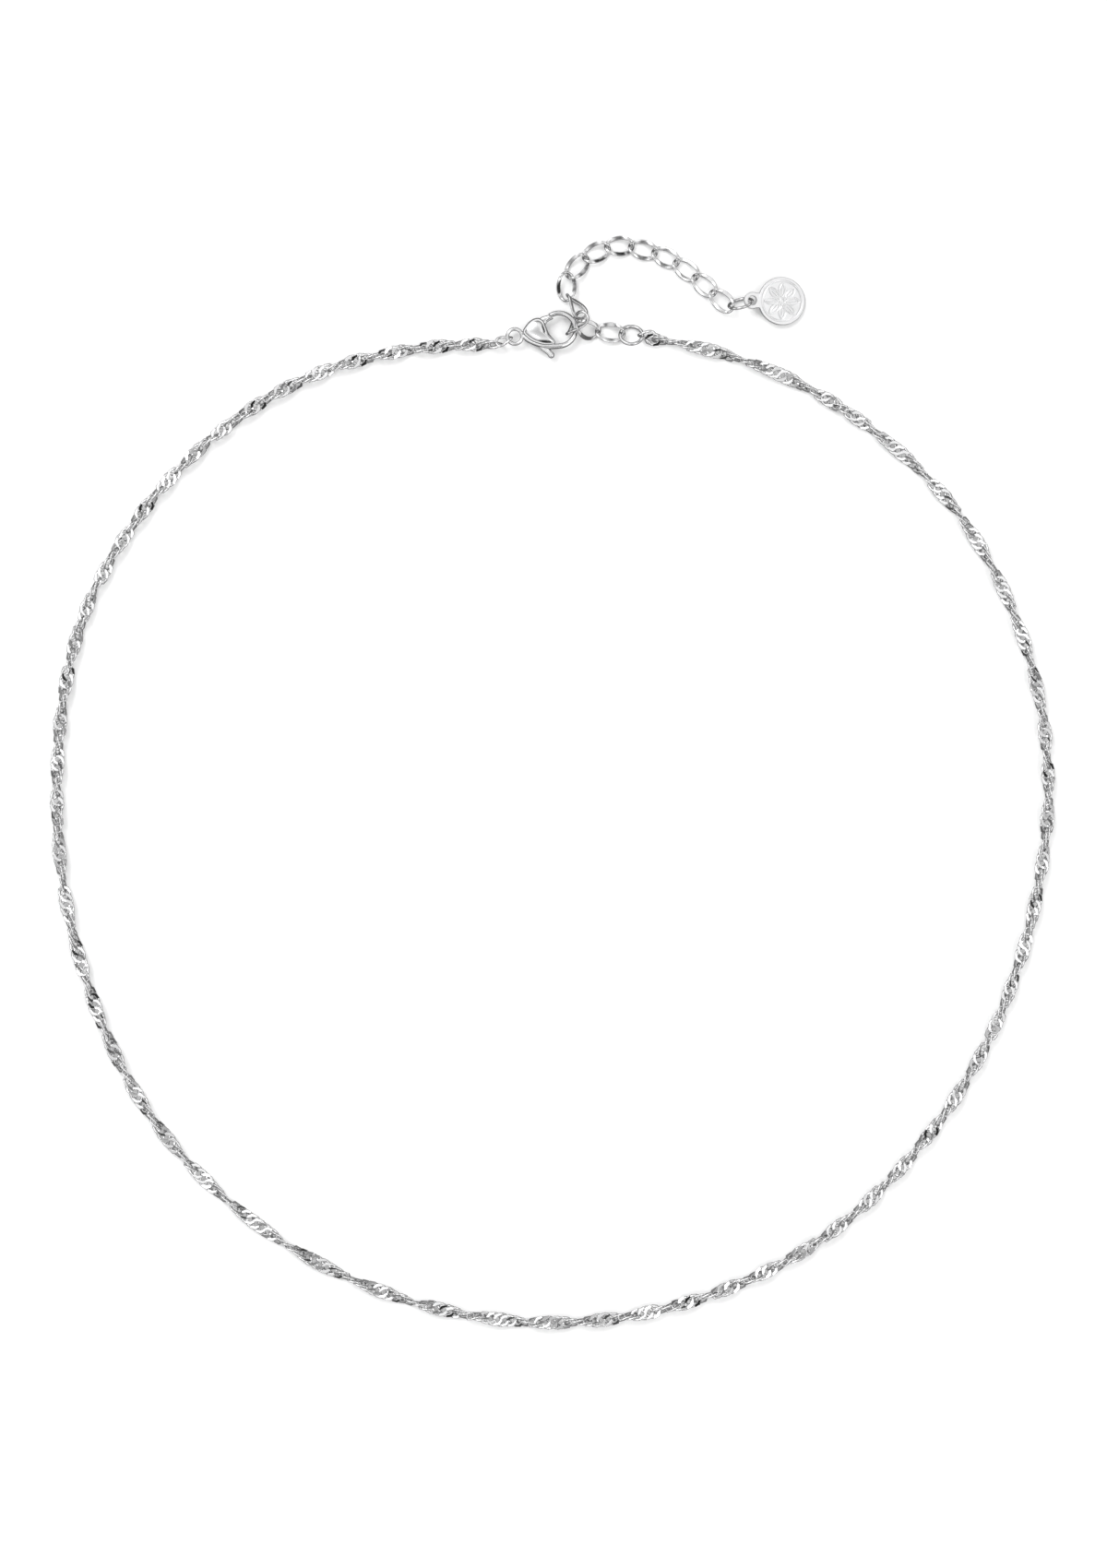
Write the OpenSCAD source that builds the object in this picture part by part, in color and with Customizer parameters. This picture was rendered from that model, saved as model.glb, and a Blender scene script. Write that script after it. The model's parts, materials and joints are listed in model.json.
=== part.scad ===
// Singapore chain necklace, lying flat and fastened, in millimetres.
// The loop is drawn around its own middle and then shifted, so that the origin
// is the middle of the whole necklace on the surface that it lies on.

/* [Chain] */
// Mean radius of the loop, to the middle of the chain
loop_r = 65; // [55:0.5:85]
// Width of the twisted chain across its flat face
chain_w = 1.9; // [1.6:0.05:2.2]
// Thickness of the chain
chain_t = 0.85; // [0.7:0.05:1]
// Length of one of the chain's small links
chain_link_l = 2.46; // [2.4:0.02:2.6]
// Wire of the chain's small links
chain_wire = 0.34; // [0.28:0.01:0.36]

/* [Clasp] */
// Thickness over both domed cheeks
clasp_t = 2.5; // [2.3:0.05:2.8]
// Length of the domed cheeks
cheek_l = 4.22; // [4.1:0.02:4.3]
// Width of the domed cheeks
cheek_w = 3.24; // [3.2:0.02:3.4]
// Radius of the hook, to the middle of its wire
hook_r = 2.14; // [2.08:0.01:2.2]
// Where the hook's tip meets the gate, as an angle around the hook's middle
hook_to = 122; // [118:1:126]
// Width of the hook and rail, seen from above
hook_w = 0.62; // [0.56:0.01:0.66]
// Height of the hook
hook_h = 0.86; // [0.76:0.02:0.9]
// Height of the rail below the cheeks
rail_h = 1.3; // [1.2:0.02:1.5]
// Radius of the rail's curve
rail_r = 6.48; // [6.2:0.02:6.8]
// Outer radius of the eye
eye_r = 1.2; // [1.14:0.01:1.25]
// Radius of the hole in the eye
eye_hole_r = 0.74; // [0.7:0.01:0.76]
// Height of the eye
eye_h = 0.56; // [0.5:0.02:0.6]

/* [Lever] */
// Thickness of the lever where it runs between the cheeks
lever_t = 0.6; // [0.5:0.02:0.64]
// Thickness of the gate and of the thumb tab
lever_end_t = 0.84; // [0.74:0.02:0.9]
// Gap between the lever and the body, on each side
lever_gap = 0.06; // [0.04:0.01:0.08]
// How far the lever turns to open the hook, in degrees
lever_travel = 24; // [18:1:26]
// Distance from the pivot to the middle of the tab's round end
tab_reach = 3.2; // [3.1:0.02:3.6]
// Direction of the tab from the pivot
tab_way = -60; // [-64:1:-57]
// Radius of the tab's round end
tab_r = 0.48; // [0.4:0.02:0.5]
// Radius of the lever's boss around the pin
boss_r = 1; // [0.8:0.02:1.04]
// Radius of the pivot pin
pin_r = 0.35; // [0.3:0.01:0.45]
// Running clearance of the lever on the pin
pin_play = 0.04; // [0.02:0.01:0.06]

/* [Extender] */
// Length of a link over all
link_l = 4; // [3.9:0.02:4.1]
// Width of a link, to the middle of its flattened sides
link_w = 2.1; // [2:0.02:2.2]
// Wire of a link at its round ends
link_wire = 0.32; // [0.26:0.01:0.34]
// Width of a link's flattened sides
flat_w = 0.54; // [0.4:0.02:0.6]
// Thickness of a link's flattened sides
flat_t = 0.27; // [0.22:0.01:0.3]
// How far each quarter of a link curls up or down
link_curl = 0.43; // [0.38:0.01:0.46]
// Play between neighbouring links
link_play = 0.26; // [0.2:0.01:0.3]

/* [Rings and tag] */
// Outer diameter of the joining ring
ring_d = 3.36; // [3.2:0.02:3.6]
// Wire of the joining ring
ring_wire = 0.44; // [0.36:0.01:0.46]
// Outer diameter of the tag's ring
tag_ring_d = 3.5; // [3.4:0.02:3.7]
// Wire of the tag's ring
tag_ring_wire = 0.36; // [0.3:0.01:0.38]
// Diameter of the tag
tag_d = 6.2; // [5:0.1:7]
// Thickness of the tag
tag_t = 0.5; // [0.4:0.02:0.6]
// Radius of the tag's ear
ear_r = 1.08; // [1:0.01:1.2]
// Radius of the hole in the tag's ear
ear_hole_r = 0.58; // [0.5:0.01:0.64]

/* [Hidden] */
$fn = 48;
steel = [0.80, 0.80, 0.81];
pale = [0.90, 0.90, 0.91];

// The chain's route, clockwise from the joining ring to the clasp, without its two ends: half turns
// of the twist so far, clock angle around the middle of the loop, share of its mean radius
ROUTE = [
    [1, 21.6, 1.017], [2, 29.9, 1.023], [4, 38.5, 1.026], [5, 45.7, 1.029], [6, 52, 1.029],
    [8, 64.5, 1.018], [10, 75.9, 1.005], [12, 85.8, 0.991], [14, 96.1, 0.975], [16, 106.6, 0.966],
    [19, 120.5, 0.963], [21, 131.2, 0.965], [24, 146.8, 0.975], [27, 161.4, 0.978], [30, 177, 0.982],
    [32, 189.6, 0.982], [34, 204.1, 0.983], [36, 221.4, 0.986], [38, 234.5, 0.988], [41, 252, 0.983],
    [43, 264.6, 0.989], [45, 275.4, 1], [47, 284.6, 1.017], [49, 293.6, 1.035], [51, 301.8, 1.042],
    [54, 314.3, 1.045], [57, 326.7, 1.04], [59, 334.9, 1.028], [61, 343.8, 1.006]
];
// Half turns at the chain's two ends, and their places from the middles of the end links
CHAIN_TURNS = [-0.25, 63];
CHAIN_START = [1.37, -0.6];
CHAIN_END = [-1.56, -0.54];
// Extender links 01 to 06, from the joining ring over the hook: x and y from the hook's middle,
// height above the surface, turn, tilt, roll
HELD = [
    [6.65, -0.34, 0.78, -6, 5, 0],
    [3.68, -0.06, 1.4, -18, -35, 0],
    [2.25, 0.72, 1.32, 46, 13, -52],
    [2.14, 3.07, 1.17, 127, 7, 55],
    [0.98, 5.63, 0.73, 89, 2, -1],
    [2.36, 8.26, 0.6, 49, 0, 0]
];
// The extender's free tail, from the middle of link 06 through links 07 to 13 and on, as above
TAIL = [
    [2.36, 8.26, 0.6], [4.85, 10.08, 0.6], [8.35, 10.91, 0.6], [14.45, 9.21, 0.6],
    [19.4, 5.46, 0.72], [21.7, 3.26, 1.26], [24, 0.96, 1.9]
];
TAIL_COUNT = 7;
// Outline of a cheek from the neck round to the neck, in shares of its length and width
CHEEK = [
    [0, 0], [0.12, 0.3], [0.29, 0.5], [0.48, 0.563], [0.645, 0.448], [0.72, 0.222],
    [0.815, -0.074], [0.985, -0.352], [0.943, -0.49], [0.66, -0.52], [0.375, -0.43], [0.148, -0.25]
];
// The dome of a cheek: share of the way out from its crown, one row for each ring
DOME = [1, 0.93, 0.78, 0.55, 0.28];
// Places of the crown and of the pivot, in shares of the cheek's length and width
CROWN = [0.475, 0.055];
PIVOT = [0.49, -0.04];
// Outline of the gate: angle from the line between pivot and hook tip, share of its reach
GATE = [[58, 0.33], [38, 0.71], [33, 0.76], [9, 1.02], [-7, 1.1], [-7, 0.72], [-32, 0.35]];
// Room around the gate: angle from the line between pivot and hook tip, share of the room's radius
GATE_ROOM = [[63, 0.37], [42, 0.72], [41, 1.2], [0, 1.2], [-45, 1.3]];
// Room between gate and tab: angle from the room's edge beside the tab, share of the same radius
INNER_ROOM = [[28, 0.577], [13, 0.82], [0, 1], [0, 0]];
// Outline of the tab: angle from the tab's direction, share of its reach
TAB = [[-40, 0.3], [-24, 0.62], [-8, 1.045], [8.2, 1.02], [10.5, 0.84], [40, 0.3]];

// Corners of the chain's band, in shares of half its width and half its thickness
BAND = [[1, 0.4], [0.7, 1], [-0.7, 1], [-1, 0.4], [-1, -0.4], [-0.7, -1], [0.7, -1], [1, -0.4]];
// Half turns of the twist between two rings of the band
band_step = 0.25;

// The clasp, drawn around the middle of its hook
hook_at = [0.6, loop_r + 0.34, clasp_t / 2];
hook_from = -80;
rail_from = -126.3;
// Degrees of hook past its tip, which are then cut off square to the gate
hook_spare = 8;
// Depth to which fused forms run into each other
weld = 0.04;
rail_at = (hook_r - rail_r) * [cos(hook_from), sin(hook_from)];
neck_at = rail_at + rail_r * [cos(rail_from), sin(rail_from)];
neck_r = 0.48;
neck_h = 0.8 * rail_h;
eye_at = neck_at + [weld - eye_r, weld];
eye_wall = eye_r - eye_hole_r;
cheek_turn = 27;
cheek_at = eye_at + (eye_r - weld) * [cos(cheek_turn), sin(cheek_turn)];
cheek_edge = 0.26;
pivot_at = cheek_at + [PIVOT[0] * cheek_l, PIVOT[1] * cheek_w];
pin_cover = 0.31;
pin_l = clasp_t - 2 * pin_cover;
pin_fit = 0.01;
slot_h = lever_t + 2 * lever_gap;
hook_tip = hook_r * [cos(hook_to), sin(hook_to)];
gate_line = hook_tip - pivot_at;
gate_way = atan2(gate_line[1], gate_line[0]);
gate_reach = norm(gate_line) - lever_gap;
gate_r = gate_reach + lever_gap;
// Angles by which the room for the tab is wider than the tab's own direction
tab_room_back = 42;
tab_room_front = 17;
// How far the thick end of the gate reaches to the side of its line, in degrees
gate_end_side = 17;

// The rings and the joints between neighbouring links
link_half = (link_l - link_wire) / 2;
link_pitch = link_l - 2 * link_wire - link_play;
play = 0.13;
tag_ring_play = 0.24;
ring_r = (ring_d - ring_wire) / 2;
ring_tilt = -33;
ring_step = [9.4, -0.72];
ring_at = [hook_at[0] + ring_step[0], hook_at[1] + ring_step[1],
    ring_r * sin(abs(ring_tilt)) + ring_wire / 2];
tag_ring_r = (tag_ring_d - tag_ring_wire) / 2;
tag_ring_turn = 15;
tag_ring_tilt = -64;
tag_ring_z = tag_ring_r * sin(abs(tag_ring_tilt)) + tag_ring_wire / 2;
tag_reach = (tag_d + ear_r) / 2 + ear_hole_r / 2;
tag_tilt = asin((tag_ring_z - tag_t / 2) / (tag_reach + tag_d / 2));

// Axes of a piece that is turned about up, tilted with its far end up, then rolled
function axes(turn, tilt, roll) =
    let(x = [cos(turn) * cos(tilt), sin(turn) * cos(tilt), sin(tilt)],
        side = [-sin(turn), cos(turn), 0],
        up = cross(x, side))
    [x, side * cos(roll) + up * sin(roll), up * cos(roll) - side * sin(roll)];
function placed(p, at, a) = at + a[0] * p[0] + a[1] * p[1] + a[2] * p[2];

// The chain's own end links, one through the joining ring and one through the clasp's eye
small_half = (chain_link_l - chain_wire) / 2;
small_curl = -0.27;
end_1_axes = axes(0, 0, 60);
end_2_axes = axes(200, 0, 50);
end_1_at = ring_at + end_1_axes[0] * (ring_r + small_half - (ring_wire + chain_wire) / 2 - play);
end_2_at = hook_at + [eye_at[0], eye_at[1], 0]
    + end_2_axes[0] * (eye_r - eye_wall / 2 + small_half - (eye_wall + chain_wire) / 2 - play);

// A row of the route for a place p on it
function row_at(turns, p) = [turns, (atan2(p[0], p[1]) + 360) % 360, norm(p) / loop_r];
ROWS = [row_at(CHAIN_TURNS[0], [end_1_at[0], end_1_at[1]] + CHAIN_START), each ROUTE,
    row_at(CHAIN_TURNS[1], [end_2_at[0], end_2_at[1]] + CHAIN_END)];

// Slope of column c of a table at row i, by its first column
function slope(rows, i, c) =
    let(a = rows[max(i - 1, 0)], b = rows[min(i + 1, len(rows) - 1)])
    (b[c] - a[c]) / (b[0] - a[0]);
// The row of a table whose span holds u
function row_of(rows, u, i = 0) =
    i < len(rows) - 2 && u > rows[i + 1][0] ? row_of(rows, u, i + 1) : i;
// Column c of a table at u, on a smooth curve through its rows
function along(rows, c, u) =
    let(i = row_of(rows, u), a = rows[i], b = rows[i + 1], w = b[0] - a[0], t = (u - a[0]) / w)
    a[c] * (1 + 2 * t) * (1 - t) * (1 - t) + slope(rows, i, c) * w * t * (1 - t) * (1 - t)
    + b[c] * t * t * (3 - 2 * t) + slope(rows, i + 1, c) * w * t * t * (t - 1);

// A point of the chain's route after n half turns, and the way the route goes there
function route(n) =
    let(a = along(ROWS, 1, n), r = loop_r * along(ROWS, 2, n)) [r * sin(a), r * cos(a), chain_w / 2];
route_step = 0.02;
function route_way(n) = let(d = route(n + route_step) - route(n - route_step)) d / norm(d);
// One ring of the twisted band, across the route after n half turns.
// The band stands on edge at each whole half turn and lies flat midway between.
function band_ring(n) =
    let(w = chain_w / 2, t = chain_t / 2, left = cross([0, 0, 1], route_way(n)),
        turn = 90 + 180 * n,
        wide = left * cos(turn) + [0, 0, sin(turn)],
        thick = [0, 0, cos(turn)] - left * sin(turn))
    [for (k = BAND) route(n) + wide * w * k[0] + thick * t * k[1]];
function band_points() =
    [for (n = [CHAIN_TURNS[0] : band_step : CHAIN_TURNS[1]]) each band_ring(n)];

// A curb link: an oval of half length a and half width b whose quarters curl up and
// down in turn by c. The wire widens from its round ends to its flattened sides.
link_rings = 16;
function link_middle(t, a, b, c) = [a * cos(t), b * sin(t), c * sin(2 * t)];
function link_ring(t, a, b, c, wire, wide, thick) =
    let(go = [-a * sin(t), b * cos(t), 2 * c * cos(2 * t)],
        out = cross(go, [0, 0, 1]) / norm(cross(go, [0, 0, 1])),
        up = cross(out, go) / norm(go),
        side = sin(t) * sin(t),
        w = (wire + (wide - wire) * side) / 2,
        h = (wire + (thick - wire) * side) / 2)
    [for (k = [0 : 60 : 300]) link_middle(t, a, b, c) + out * w * cos(k) + up * h * sin(k)];
function link_points(a, b, c, wire, wide, thick) =
    [for (i = [0 : link_rings - 1])
        each link_ring(360 * i / link_rings, a, b, c, wire, wide, thick)];
// Faces of a closed row of rings, each with s corners
function loop_faces(rings, s) =
    [for (i = [0 : rings - 1], k = [0 : s - 1])
        let(j = (i + 1) % rings, m = (k + 1) % s)
        each [[i * s + k, j * s + m, j * s + k], [i * s + k, i * s + m, j * s + m]]];

// The tail's own line: a smooth curve through TAIL, counted in its rows
TAIL_U = [for (i = [0 : len(TAIL) - 1])
    [i, hook_at[0] + TAIL[i][0], hook_at[1] + TAIL[i][1], TAIL[i][2]]];
function tail_at(u) = [along(TAIL_U, 1, u), along(TAIL_U, 2, u), along(TAIL_U, 3, u)];
tail_step = 0.005;
// The place on the tail that lies one pitch in a straight line past the place from
function next_u(from, u) =
    norm(tail_at(u) - tail_at(from)) >= link_pitch ? u : next_u(from, u + tail_step);
function tail_us(i, us = [1]) =
    let(u = us[len(us) - 1]) i == 0 ? us : tail_us(i - 1, concat(us, [next_u(u, u)]));
tail_middles = [tail_at(0), for (u = tail_us(TAIL_COUNT)) tail_at(u)];
// Pose of link i of the tail, counted from 0: it points from the link before to the one after
function tail_pose(i) =
    let(p = tail_middles[i + 1], d = tail_middles[i + 2] - tail_middles[i])
    [p[0], p[1], p[2], atan2(d[1], d[0]), asin(d[2] / norm(d)), 0];
// The pose of extender link i, counted from 1
function link_pose(i) =
    i > len(HELD) ? tail_pose(i - 1 - len(HELD)) : HELD[i - 1] + [hook_at[0], hook_at[1], 0, 0, 0, 0];
last = link_pose(len(HELD) + TAIL_COUNT);
last_axes = axes(last[3], last[4], last[5]);
tag_ring_way = [cos(tag_ring_turn), sin(tag_ring_turn), 0];
tag_ring_hook = placed([link_half - (link_wire + tag_ring_wire) / 2 - tag_ring_play, 0, 0],
    [last[0], last[1], 0], last_axes);
tag_ring_at = [tag_ring_hook[0], tag_ring_hook[1], tag_ring_z] + tag_ring_r * tag_ring_way;
tag_hole_at = tag_ring_at + tag_ring_r * tag_ring_way;

// Half the extent of all pieces, which shifts the necklace onto its origin
band = band_points();
band_x = [for (p = band) p[0]];
band_y = [for (p = band) p[1]];
function link_world(i) =
    let(q = link_pose(i), a = axes(q[3], q[4], q[5]))
    [for (p = link_points(link_half, link_w / 2, link_curl, link_wire, flat_w, flat_t))
        placed(p, [q[0], q[1], q[2]], a)];
link_y = [for (i = [1 : len(HELD) + TAIL_COUNT]) for (p = link_world(i)) p[1]];
middle = [(min(band_x) + max(band_x)) / 2, (min(band_y) + max(max(band_y), max(link_y))) / 2, 0];

// Shift from the drawing around the loop's middle to the necklace's own origin
module shifted() {
    translate(-middle) children();
}

// The twisted band that the small links of the chain fill
module singapore_chain() {
    n = len(BAND);
    rings = len(band) / n;
    caps = [[for (k = [0 : n - 1]) k], [for (k = [n - 1 : -1 : 0]) (rings - 1) * n + k]];
    walls = [for (i = [0 : rings - 2], k = [0 : n - 1])
        let(m = (k + 1) % n)
        each [[i * n + k, (i + 1) * n + k, (i + 1) * n + m], [i * n + k, (i + 1) * n + m, i * n + m]]];
    color(steel) shifted() polyhedron(points = band, faces = concat(caps, walls));
}

// One of the chain's own small links, placed by its middle and its axes
module small_link(at, a) {
    points = link_points(small_half, (chain_w - chain_wire) / 2, small_curl,
        chain_wire, chain_wire, chain_wire);
    color(steel) shifted()
        polyhedron(points = [for (p = points) placed(p, at, a)], faces = loop_faces(link_rings, 6));
}

// The chain's first link, through the joining ring
module chain_end_link_1() {
    small_link(end_1_at, end_1_axes);
}

// The chain's last link, through the eye of the clasp
module chain_end_link_2() {
    small_link(end_2_at, end_2_axes);
}

// An extender link, counted from 1
module extender_link(i) {
    color(steel) shifted() polyhedron(points = link_world(i), faces = loop_faces(link_rings, 6));
}

// A round ring of wire, its opening facing up before it is leaned over
module wire_ring(r, wire) {
    rotate_extrude() translate([r, 0]) circle(d = wire);
}

module joining_ring() {
    color(steel) shifted() translate(ring_at) rotate([ring_tilt, 0, 0]) wire_ring(ring_r, ring_wire);
}

module tag_ring() {
    color(steel) shifted()
        translate(tag_ring_at) rotate([0, 0, tag_ring_turn]) rotate([tag_ring_tilt, 0, 0])
            wire_ring(tag_ring_r, tag_ring_wire);
}

// A flat round plate with a pierced ear, which leans from its ring down to the surface
module tag() {
    color(pale) shifted() translate(tag_hole_at) rotate([0, tag_tilt, 0])
        translate([0, 0, -tag_t / 2]) linear_extrude(tag_t) difference() {
            union() {
                translate([tag_reach, 0]) circle(d = tag_d, $fn = 96);
                circle(r = ear_r);
                translate([0, -ear_r * 0.9]) square([tag_reach / 2, ear_r * 1.8]);
            }
            circle(r = ear_hole_r);
        }
}

// A bar's section: w wide, h high, with round top and bottom
module bar_section(w, h) {
    square([w, h - w], center = true);
    for (s = [-1, 1]) translate([0, s * (h - w) / 2]) circle(d = w);
}

// A bar of that section bent round an arc, between two angles
module bar_arc(r, w, h, from, to) {
    rotate([0, 0, from]) rotate_extrude(angle = to - from) translate([r, 0]) bar_section(w, h);
}

// Points on a closed smooth curve through the cheek's outline, k points for each row
function cheek_outline(k = 3) =
    [for (i = [0 : len(CHEEK) - 1], s = [0 : k - 1])
        let(n = len(CHEEK), t = s / k,
            a = CHEEK[(i + n - 1) % n], b = CHEEK[i], c = CHEEK[(i + 1) % n], d = CHEEK[(i + 2) % n],
            q = 0.5 * (2 * b + (c - a) * t + (2 * a - 5 * b + 4 * c - d) * t * t
                + (3 * b - a - 3 * c + d) * t * t * t))
        [q[0] * cheek_l, q[1] * cheek_w]];

// One domed cheek above the lever's slot
module cheek() {
    outline = cheek_outline();
    n = len(outline);
    crown = [CROWN[0] * cheek_l, CROWN[1] * cheek_w];
    low = slot_h / 2;
    rim = low + cheek_edge;
    rise = clasp_t / 2 - rim;
    rings = concat(
        [[for (p = outline) [p[0], p[1], low]]],
        [for (s = DOME) [for (p = outline)
            let(q = crown + s * (p - crown)) [q[0], q[1], rim + rise * sqrt(1 - s * s)]]]);
    points = concat([for (r = rings) each r], [[crown[0], crown[1], clasp_t / 2]]);
    top = len(rings) - 1;
    walls = [for (r = [0 : top - 1], k = [0 : n - 1])
        let(m = (k + 1) % n)
        each [[r * n + k, (r + 1) * n + m, (r + 1) * n + k], [r * n + k, r * n + m, (r + 1) * n + m]]];
    cap = [for (k = [0 : n - 1]) [top * n + k, top * n + (k + 1) % n, (top + 1) * n]];
    base = [[for (k = [n - 1 : -1 : 0]) k]];
    polyhedron(points = points, faces = concat(base, walls, cap));
}

function polar(p) = [p[1] * cos(p[0]), p[1] * sin(p[0])];

// The room that the lever's boss, gate and tab sweep between the cheeks, around the pivot
module lever_room() {
    tab_end = tab_reach + 2 * tab_r;
    back = tab_way - tab_room_back - lever_travel;
    front = tab_way + tab_room_front;
    circle(r = boss_r + lever_gap);
    intersection() {
        circle(r = gate_r);
        polygon(concat([for (p = GATE_ROOM) polar([gate_way + p[0], p[1] * gate_r])],
            [for (p = INNER_ROOM) polar([front + p[0], p[1] * gate_r])]));
    }
    polygon([for (p = [[front, boss_r], [front, tab_end], [(front + back) / 2, tab_end],
        [back, tab_end], [back, boss_r]]) polar(p)]);
}

// The body of the clasp before it is slotted: eye, neck, rail, hook and cheeks
module clasp_casting() {
    translate(eye_at) rotate_extrude() translate([(eye_r + eye_hole_r) / 2, 0])
        bar_section(eye_wall, eye_h);
    translate([neck_at[0] + 2 * weld, neck_at[1] + neck_r / 2, -neck_h / 2])
        cylinder(r = neck_r, h = neck_h);
    translate(rail_at) bar_arc(rail_r, hook_w, rail_h, rail_from, hook_from);
    difference() {
        bar_arc(hook_r, hook_w, hook_h, hook_from, hook_to + hook_spare);
        translate([pivot_at[0], pivot_at[1], -hook_h]) cylinder(r = gate_r, h = 2 * hook_h);
    }
    translate(cheek_at) for (s = [0, 1]) mirror([0, 0, s]) cheek();
    translate([cheek_at[0], cheek_at[1], -slot_h / 2 - cheek_edge / 2])
        linear_extrude(slot_h + cheek_edge) polygon(cheek_outline());
}

module clasp_body() {
    color(steel) shifted() translate(hook_at) difference() {
        clasp_casting();
        translate([pivot_at[0], pivot_at[1], -slot_h / 2]) linear_extrude(slot_h) lever_room();
        translate([pivot_at[0], pivot_at[1], -pin_l / 2 - pin_fit])
            cylinder(r = pin_r + pin_fit, h = pin_l + 2 * pin_fit);
    }
}

// The lever around its pivot: boss, gate and the arm that carries the thumb tab
module lever_plate() {
    circle(r = boss_r);
    intersection() {
        circle(r = gate_reach);
        polygon([for (p = GATE) polar([gate_way + p[0], gate_reach * p[1]])]);
    }
    polygon([for (p = TAB) polar([tab_way + p[0], tab_reach * p[1]])]);
    translate(polar([tab_way, tab_reach])) circle(r = tab_r);
}

// The thicker ends of the lever: the gate's end, and the tab outside the rail
module lever_ends() {
    cheek_clear = 0.745 * gate_reach;
    rail_clear = rail_r + hook_w / 2 + 1.5 * lever_gap;
    intersection() {
        lever_plate();
        union() {
            difference() {
                rotate(gate_way - gate_end_side) square([2 * gate_reach, gate_reach]);
                circle(r = cheek_clear);
            }
            difference() {
                translate([-boss_r, -2 * tab_reach]) square(2 * tab_reach);
                translate(rail_at - pivot_at) circle(r = rail_clear, $fn = 180);
            }
        }
    }
}

module clasp_lever() {
    color(steel) shifted() translate(hook_at + [pivot_at[0], pivot_at[1], 0]) difference() {
        union() {
            translate([0, 0, -lever_t / 2]) linear_extrude(lever_t) lever_plate();
            translate([0, 0, -lever_end_t / 2]) linear_extrude(lever_end_t) lever_ends();
        }
        translate([0, 0, -clasp_t / 2]) cylinder(r = pin_r + pin_play, h = clasp_t);
    }
}

module clasp_pin() {
    color(steel) shifted() translate(hook_at + [pivot_at[0], pivot_at[1], -pin_l / 2])
        cylinder(r = pin_r, h = pin_l);
}

singapore_chain();
chain_end_link_1();
chain_end_link_2();
clasp_body();
clasp_lever();
clasp_pin();
joining_ring();
extender_link(1);  // extender_link_01
extender_link(2);  // extender_link_02
extender_link(3);  // extender_link_03
extender_link(4);  // extender_link_04
extender_link(5);  // extender_link_05
extender_link(6);  // extender_link_06
extender_link(7);  // extender_link_07
extender_link(8);  // extender_link_08
extender_link(9);  // extender_link_09
extender_link(10);  // extender_link_10
extender_link(11);  // extender_link_11
extender_link(12);  // extender_link_12
extender_link(13);  // extender_link_13
tag_ring();
tag();
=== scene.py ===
"""Looks of the singapore chain necklace, which lies flat and fastened on a pale surface.

Every new shape is a surface worked out with numpy as whole arrays: a profile that is carried
along a path, or a height over a polar grid. Lengths are metres, and the frame is the necklace's
own: its middle is the origin, +Y points to the clasp and +Z is up.
"""
import json
import math

import bpy
import numpy as np
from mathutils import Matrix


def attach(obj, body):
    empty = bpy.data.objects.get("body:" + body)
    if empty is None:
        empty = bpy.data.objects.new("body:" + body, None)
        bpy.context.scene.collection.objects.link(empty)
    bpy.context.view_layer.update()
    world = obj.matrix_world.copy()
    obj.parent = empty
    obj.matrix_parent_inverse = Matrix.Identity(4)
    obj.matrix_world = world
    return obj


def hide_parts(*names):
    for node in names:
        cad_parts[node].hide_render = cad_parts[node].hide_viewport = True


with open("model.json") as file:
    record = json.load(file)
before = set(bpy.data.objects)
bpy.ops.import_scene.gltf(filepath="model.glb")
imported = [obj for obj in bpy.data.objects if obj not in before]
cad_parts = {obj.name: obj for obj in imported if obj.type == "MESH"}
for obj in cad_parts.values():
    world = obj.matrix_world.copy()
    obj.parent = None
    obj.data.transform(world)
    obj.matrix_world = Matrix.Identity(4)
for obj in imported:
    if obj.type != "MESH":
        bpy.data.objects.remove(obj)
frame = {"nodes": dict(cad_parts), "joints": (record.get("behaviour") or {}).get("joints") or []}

MM = 0.001
UP = np.array([0.0, 0.0, 1.0])
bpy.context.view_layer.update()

# The camera looks straight down, at the field that a 1200 x 1700 picture takes in
FIELD_HEIGHT = 204 * MM
CAMERA_AT = np.array([0.125, -0.159]) * MM
LENS = 100 * MM
SENSOR = 36 * MM

# The clasp, in millimetres around the middle of its hook
HOOK_FROM_PIVOT = np.array([2.6485, 0.5113, 0.0])
PIVOT = -HOOK_FROM_PIVOT
HOOK_R = 2.14
HOOK_FROM = -80
HOOK_TO = 122
HOOK_H = 0.86
BAR_W = 0.62
RAIL_R = 6.48
RAIL_FROM = -126.3
RAIL_H = 1.3
# How far the rail goes on into the neck, and over how many degrees it swells to its full size
RAIL_LEAD = 1.7
RAIL_TAPER = 6
# The stretch of the rail that the lever's slot opens, as angles on its curve
RAIL_SLOT = [-114.6, -90.7]
# Where the bar's height eases from the rail's to the hook's
BAR_EASE = [-96, -45]
SLOT_H = 0.72
GATE_ROOM_R = 2.775
CLASP_T = 2.5
EYE_AT = np.array([-5.750, -0.908])
EYE_R = 1.2
EYE_HOLE_R = 0.74
EYE_H = 0.56
CHEEK_AT = np.array([-4.716, -0.381])
CHEEK_L = 4.22
CHEEK_W = 3.24
CHEEK_EDGE = 0.26

# Outline of a cheek from the neck round to the neck, in shares of its length and width
CHEEK = [
    [0, 0], [0.12, 0.3], [0.29, 0.5], [0.48, 0.563], [0.645, 0.448], [0.72, 0.222],
    [0.815, -0.074], [0.985, -0.352], [0.943, -0.49], [0.66, -0.52], [0.375, -0.43], [0.148, -0.25],
]
CROWN = [0.475, 0.055]
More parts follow.
